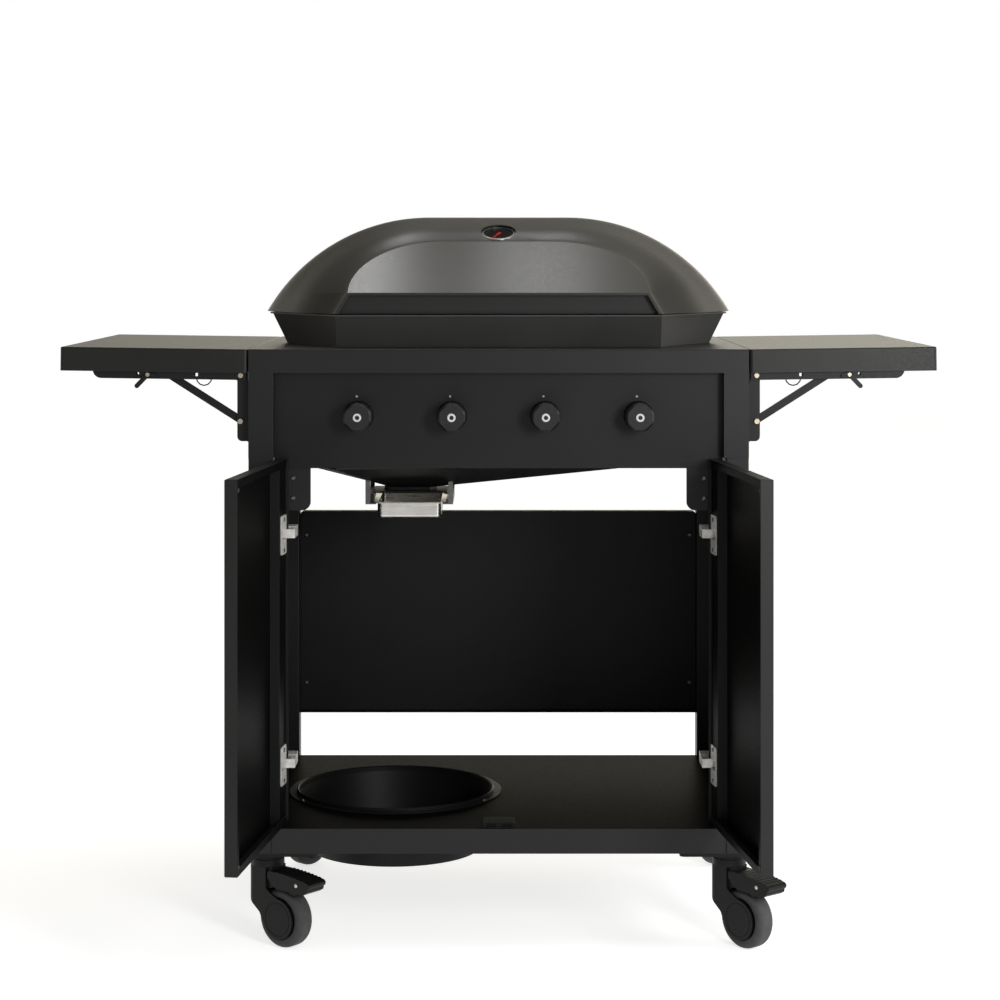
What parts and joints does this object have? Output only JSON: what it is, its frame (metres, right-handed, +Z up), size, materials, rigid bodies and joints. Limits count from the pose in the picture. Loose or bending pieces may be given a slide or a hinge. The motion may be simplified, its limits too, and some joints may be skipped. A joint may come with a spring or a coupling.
{
  "type": "gas grill",
  "caption": "Freestanding gas grill with a faceted hood on a wheeled cabinet cart with hinged doors, fold-down side tables, control knobs and a well for the gas bottle.",
  "frame": {"origin": "on the floor under the middle of the grill's bounding box with the doors open", "axes": "+X to the right seen from the front, along the tables; +Y from the front to the back; +Z up"},
  "size_m": [1.4018, 0.9573, 1.179],
  "materials": {
    "black_coat": "satin powder coat",
    "hood_coat": "satin enamel",
    "firebox_coat": "heat-proof matt coat",
    "grate_iron": "matt enamel",
    "burner_steel": "satin",
    "tent_steel": "matt",
    "tray_steel": "brushed",
    "hinge_nickel": "nickel plated",
    "bracket_black": "satin",
    "caster_zinc": "satin",
    "valve_brass": "satin",
    "pipe_steel": "satin",
    "knob_plastic": "satin",
    "gauge_chrome": "polished",
    "gauge_face": "matt",
    "catch_plastic": "matt",
    "wheel_rubber": "matt",
    "hub_plastic": "satin",
    "screw_steel": "black zinc"
  },
  "bodies": {
    "cart": {"top_box": "black_coat", "worktop": "black_coat", "control_panel": "black_coat", "knob_bezels": "knob_plastic", "front_legs": "black_coat", "rear_legs": "black_coat", "side_panels": "black_coat", "back_panel": "black_coat", "bottom_shelf": "black_coat", "bottle_well": "black_coat", "cart_screws": "screw_steel", "door_catch": "catch_plastic", "caster_plates": "caster_zinc", "firebox": "firebox_coat", "grease_funnel": "firebox_coat", "tray_rails": "tray_steel", "burner_tubes": "burner_steel", "heat_tents": "tent_steel", "cooking_grates": "grate_iron", "gas_manifold": "pipe_steel", "gas_valves": "valve_brass", "wall_brackets": "bracket_black", "door_hinge_arms": "hinge_nickel", "hood_hinge_uprights": "black_coat"},
    "hood": {"hood_shell": "hood_coat", "hood_grip_strip": "hood_coat", "thermometer_case": "gauge_chrome", "thermometer_dial": "gauge_face", "hood_hinge_knuckles": "black_coat"},
    "tray": {"grease_tray": "tray_steel"},
    "left_door_leaf": {"left_door": "black_coat", "left_hinge_cups": "hinge_nickel"},
    "left_table_leaf": {"left_table": "black_coat", "left_table_channels": "bracket_black"},
    "left_brace_pair": {"left_braces": "bracket_black"},
    "left_lever_pair": {"left_release_levers": "bracket_black"},
    "right_door_leaf": {"right_door": "black_coat", "right_hinge_cups": "hinge_nickel"},
    "right_table_leaf": {"right_table": "black_coat", "right_table_channels": "bracket_black"},
    "right_brace_pair": {"right_braces": "bracket_black"},
    "right_lever_pair": {"right_release_levers": "bracket_black"},
    "knob_body_1": {"knob_1": "knob_plastic"},
    "knob_body_2": {"knob_2": "knob_plastic"},
    "knob_body_3": {"knob_3": "knob_plastic"},
    "knob_body_4": {"knob_4": "knob_plastic"},
    "swivel_front_left": {"caster_fork_front_left": "caster_zinc"},
    "wheel_front_left": {"caster_tyre_front_left": "wheel_rubber", "caster_hub_front_left": "hub_plastic"},
    "pedal_front_left": {"brake_pedal_front_left": "caster_zinc"},
    "swivel_front_right": {"caster_fork_front_right": "caster_zinc"},
    "wheel_front_right": {"caster_tyre_front_right": "wheel_rubber", "caster_hub_front_right": "hub_plastic"},
    "pedal_front_right": {"brake_pedal_front_right": "caster_zinc"},
    "swivel_rear_left": {"caster_fork_rear_left": "caster_zinc"},
    "wheel_rear_left": {"caster_tyre_rear_left": "wheel_rubber", "caster_hub_rear_left": "hub_plastic"},
    "swivel_rear_right": {"caster_fork_rear_right": "caster_zinc"},
    "wheel_rear_right": {"caster_tyre_rear_right": "wheel_rubber", "caster_hub_rear_right": "hub_plastic"}
  },
  "joints": [
    {"name": "hood_lift", "type": "hinge", "parent": "cart", "child": "hood", "pos_m": [0, 0.419, 1.021], "axis": [-1, 0, 0], "range_deg": [0, 85]},
    {"name": "tray_slide", "type": "slide", "parent": "cart", "child": "tray", "axis": [0, -1, 0], "range_m": [0, 0.15]},
    {"name": "left_door_swing", "type": "hinge", "parent": "cart", "child": "left_door_leaf", "pos_m": [-0.3535, -0.122, 0.5], "axis": [0, 0, 1], "range_deg": [0, 97]},
    {"name": "left_table_fold", "type": "hinge", "parent": "cart", "child": "left_table_leaf", "pos_m": [-0.413, 0.174, 0.9217], "axis": [0, -1, 0], "range_deg": [0, 82]},
    {"name": "left_brace_swing", "type": "hinge", "parent": "cart", "child": "left_brace_pair", "pos_m": [-0.414, 0.174, 0.848], "axis": [0, -1, 0], "range_deg": [0, 109.6]},
    {"name": "left_lever_press", "type": "hinge", "parent": "left_table_leaf", "child": "left_lever_pair", "pos_m": [-0.56149, 0.174, 0.92337], "axis": [0, 1, 0], "range_deg": [0, 20], "stiffness_Nm_per_rad": 0.15, "springref_deg": -11.46},
    {"name": "right_door_swing", "type": "hinge", "parent": "cart", "child": "right_door_leaf", "pos_m": [0.3535, -0.122, 0.5], "axis": [0, 0, -1], "range_deg": [0, 97]},
    {"name": "right_table_fold", "type": "hinge", "parent": "cart", "child": "right_table_leaf", "pos_m": [0.413, 0.174, 0.9217], "axis": [0, 1, 0], "range_deg": [0, 82]},
    {"name": "right_brace_swing", "type": "hinge", "parent": "cart", "child": "right_brace_pair", "pos_m": [0.414, 0.174, 0.848], "axis": [0, 1, 0], "range_deg": [0, 109.6]},
    {"name": "right_lever_press", "type": "hinge", "parent": "right_table_leaf", "child": "right_lever_pair", "pos_m": [0.56149, 0.174, 0.92337], "axis": [0, -1, 0], "range_deg": [0, 20], "stiffness_Nm_per_rad": 0.15, "springref_deg": -11.46},
    {"name": "knob_turn_1", "type": "hinge", "parent": "cart", "child": "knob_body_1", "pos_m": [-0.225, -0.126, 0.856], "axis": [0, -1, 0], "range_deg": [0, 200]},
    {"name": "knob_turn_2", "type": "hinge", "parent": "cart", "child": "knob_body_2", "pos_m": [-0.075, -0.126, 0.856], "axis": [0, -1, 0], "range_deg": [0, 200]},
    {"name": "knob_turn_3", "type": "hinge", "parent": "cart", "child": "knob_body_3", "pos_m": [0.075, -0.126, 0.856], "axis": [0, -1, 0], "range_deg": [0, 200]},
    {"name": "knob_turn_4", "type": "hinge", "parent": "cart", "child": "knob_body_4", "pos_m": [0.225, -0.126, 0.856], "axis": [0, -1, 0], "range_deg": [0, 200]},
    {"name": "swivel_turn_front_left", "type": "hinge", "parent": "cart", "child": "swivel_front_left", "pos_m": [-0.3745, -0.062, 0.14], "axis": [0, 0, 1], "continuous": true},
    {"name": "pedal_lift_front_left", "type": "hinge", "parent": "swivel_front_left", "child": "pedal_front_left", "pos_m": [-0.31155, -0.11298, 0.107], "axis": [-0.6293, -0.7771, 0], "range_deg": [0, 15]},
    {"name": "wheel_roll_front_left", "type": "hinge", "parent": "swivel_front_left", "child": "wheel_front_left", "pos_m": [-0.34264, -0.0878, 0.047], "axis": [0.6293, 0.7771, 0], "continuous": true},
    {"name": "swivel_turn_front_right", "type": "hinge", "parent": "cart", "child": "swivel_front_right", "pos_m": [0.3745, -0.062, 0.14], "axis": [0, 0, 1], "continuous": true},
    {"name": "pedal_lift_front_right", "type": "hinge", "parent": "swivel_front_right", "child": "pedal_front_right", "pos_m": [0.42547, -0.12495, 0.107], "axis": [-0.7771, -0.6293, 0], "range_deg": [0, 15]},
    {"name": "wheel_roll_front_right", "type": "hinge", "parent": "swivel_front_right", "child": "wheel_front_right", "pos_m": [0.4003, -0.09386, 0.047], "axis": [0.7771, 0.6293, 0], "continuous": true},
    {"name": "swivel_turn_rear_left", "type": "hinge", "parent": "cart", "child": "swivel_rear_left", "pos_m": [-0.3745, 0.41, 0.14], "axis": [0, 0, 1], "continuous": true},
    {"name": "wheel_roll_rear_left", "type": "hinge", "parent": "swivel_rear_left", "child": "wheel_rear_left", "pos_m": [-0.34815, 0.44141, 0.047], "axis": [-0.766, 0.6428, 0], "continuous": true},
    {"name": "swivel_turn_rear_right", "type": "hinge", "parent": "cart", "child": "swivel_rear_right", "pos_m": [0.3745, 0.41, 0.14], "axis": [0, 0, 1], "continuous": true},
    {"name": "wheel_roll_rear_right", "type": "hinge", "parent": "swivel_rear_right", "child": "wheel_rear_right", "pos_m": [0.40349, 0.43899, 0.047], "axis": [-0.7071, 0.7071, 0], "continuous": true}
  ],
  "couplings": [
    {"joint": "left_brace_swing", "follows": "left_table_fold", "ratio": 1.3341},
    {"joint": "right_brace_swing", "follows": "right_table_fold", "ratio": 1.3341}
  ]
}
